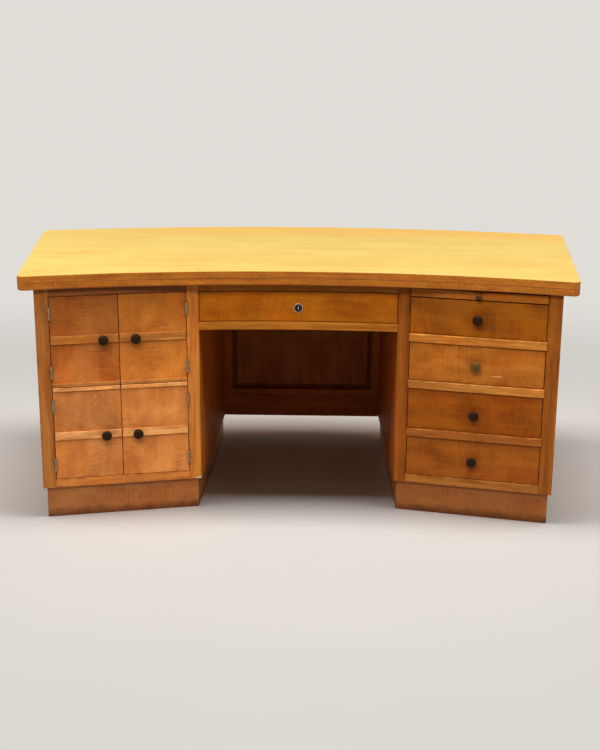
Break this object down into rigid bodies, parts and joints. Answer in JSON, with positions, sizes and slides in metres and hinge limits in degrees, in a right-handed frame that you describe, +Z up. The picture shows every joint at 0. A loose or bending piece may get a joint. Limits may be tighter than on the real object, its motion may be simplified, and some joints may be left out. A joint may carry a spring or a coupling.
{
  "type": "kneehole desk",
  "caption": "Kneehole desk with a concave top, a cupboard pedestal with hinged doors, a drawer pedestal with a writing slide, and a locking centre drawer.",
  "frame": {"origin": "on the floor, under the middle of the top's outline", "axes": "+X to the sitter's right, +Y away from the sitter, +Z up"},
  "size_m": [1.7632, 0.8542, 0.76],
  "materials": {
    "top_veneer": "waxed honey-coloured veneer",
    "panel_veneer": "waxed figured veneer",
    "frame_wood": "waxed straight-grained wood",
    "inner_wood": "bare planed wood",
    "dark_knob": "dark-stained, polished by hands",
    "bronze_knob": "dull, aged",
    "hinge_steel": "worn plating",
    "lock_nickel": "polished nickel plate",
    "plug_black": "black",
    "bolt_brass": "dull"
  },
  "bodies": {
    "frame": {"centre_rails": "frame_wood", "centre_runners": "inner_wood", "cupboard_shelves": "inner_wood", "drawer_rails": "frame_wood", "drawer_runners": "inner_wood", "hinge_frame_leaves": "hinge_steel", "hinge_pins": "hinge_steel", "left_back": "inner_wood", "left_bottom": "inner_wood", "left_inner_side": "frame_wood", "left_outer_side": "frame_wood", "left_rails": "frame_wood", "left_stiles": "frame_wood", "left_sub_top": "inner_wood", "modesty_frame": "frame_wood", "modesty_panel": "panel_veneer", "plinths": "frame_wood", "right_back": "inner_wood", "right_bottom": "inner_wood", "right_inner_side": "frame_wood", "right_outer_side": "frame_wood", "right_stiles": "frame_wood", "slide_runners": "inner_wood", "top_board": "top_veneer", "top_under_board": "top_veneer"},
    "upper_outer": {"upper_outer_door": "panel_veneer", "upper_outer_battens": "frame_wood", "upper_outer_knob": "dark_knob", "upper_outer_hinge_leaves": "hinge_steel"},
    "upper_inner": {"upper_inner_door": "panel_veneer", "upper_inner_battens": "frame_wood", "upper_inner_knob": "dark_knob", "upper_inner_hinge_leaves": "hinge_steel"},
    "lower_outer": {"lower_outer_door": "panel_veneer", "lower_outer_battens": "frame_wood", "lower_outer_knob": "dark_knob", "lower_outer_hinge_leaves": "hinge_steel"},
    "lower_inner": {"lower_inner_door": "panel_veneer", "lower_inner_battens": "frame_wood", "lower_inner_knob": "dark_knob", "lower_inner_hinge_leaves": "hinge_steel"},
    "drawer_1": {"drawer_1_front": "panel_veneer", "drawer_1_box": "inner_wood", "drawer_1_knob": "dark_knob"},
    "drawer_2": {"drawer_2_front": "panel_veneer", "drawer_2_box": "inner_wood", "drawer_2_knob": "bronze_knob"},
    "drawer_3": {"drawer_3_front": "panel_veneer", "drawer_3_box": "inner_wood", "drawer_3_knob": "dark_knob"},
    "drawer_4": {"drawer_4_front": "panel_veneer", "drawer_4_box": "inner_wood", "drawer_4_knob": "dark_knob"},
    "slide": {"writing_slide": "frame_wood", "slide_knob": "bronze_knob"},
    "centre_drawer": {"centre_drawer_front": "panel_veneer", "centre_drawer_box": "inner_wood", "lock_body": "lock_nickel"},
    "plug": {"lock_plug": "plug_black"},
    "bolt": {"lock_bolt": "bolt_brass"}
  },
  "joints": [
    {"name": "upper_outer_hinge", "type": "hinge", "parent": "frame", "child": "upper_outer", "pos_m": [-0.729, -0.39826, 0], "axis": [0, 0, -1], "range_deg": [0, 105]},
    {"name": "upper_inner_hinge", "type": "hinge", "parent": "frame", "child": "upper_inner", "pos_m": [-0.33406, -0.30839, 0], "axis": [0, 0, 1], "range_deg": [0, 75]},
    {"name": "lower_outer_hinge", "type": "hinge", "parent": "frame", "child": "lower_outer", "pos_m": [-0.729, -0.39826, 0], "axis": [0, 0, -1], "range_deg": [0, 105]},
    {"name": "lower_inner_hinge", "type": "hinge", "parent": "frame", "child": "lower_inner", "pos_m": [-0.33406, -0.30839, 0], "axis": [0, 0, 1], "range_deg": [0, 105]},
    {"name": "drawer_1_travel", "type": "slide", "parent": "frame", "child": "drawer_1", "axis": [0, -1, 0], "range_m": [0, 0.38]},
    {"name": "drawer_2_travel", "type": "slide", "parent": "frame", "child": "drawer_2", "axis": [0, -1, 0], "range_m": [0, 0.38]},
    {"name": "drawer_3_travel", "type": "slide", "parent": "frame", "child": "drawer_3", "axis": [0, -1, 0], "range_m": [0, 0.38]},
    {"name": "drawer_4_travel", "type": "slide", "parent": "frame", "child": "drawer_4", "axis": [0, -1, 0], "range_m": [0, 0.38]},
    {"name": "writing_slide_travel", "type": "slide", "parent": "frame", "child": "slide", "axis": [0, -1, 0], "range_m": [0, 0.32]},
    {"name": "centre_drawer_travel", "type": "slide", "parent": "frame", "child": "centre_drawer", "axis": [0, -1, 0], "range_m": [0, 0.33]},
    {"name": "lock_turn", "type": "hinge", "parent": "centre_drawer", "child": "plug", "pos_m": [0, -0.27543, 0.63925], "axis": [0, -1, 0], "range_deg": [0, 90]},
    {"name": "bolt_lift", "type": "slide", "parent": "centre_drawer", "child": "bolt", "axis": [0, 0, 1], "range_m": [0, 0.008]}
  ],
  "couplings": [
    {"joint": "lock_turn", "follows": "bolt_lift", "rad_per_m": 196.3}
  ]
}
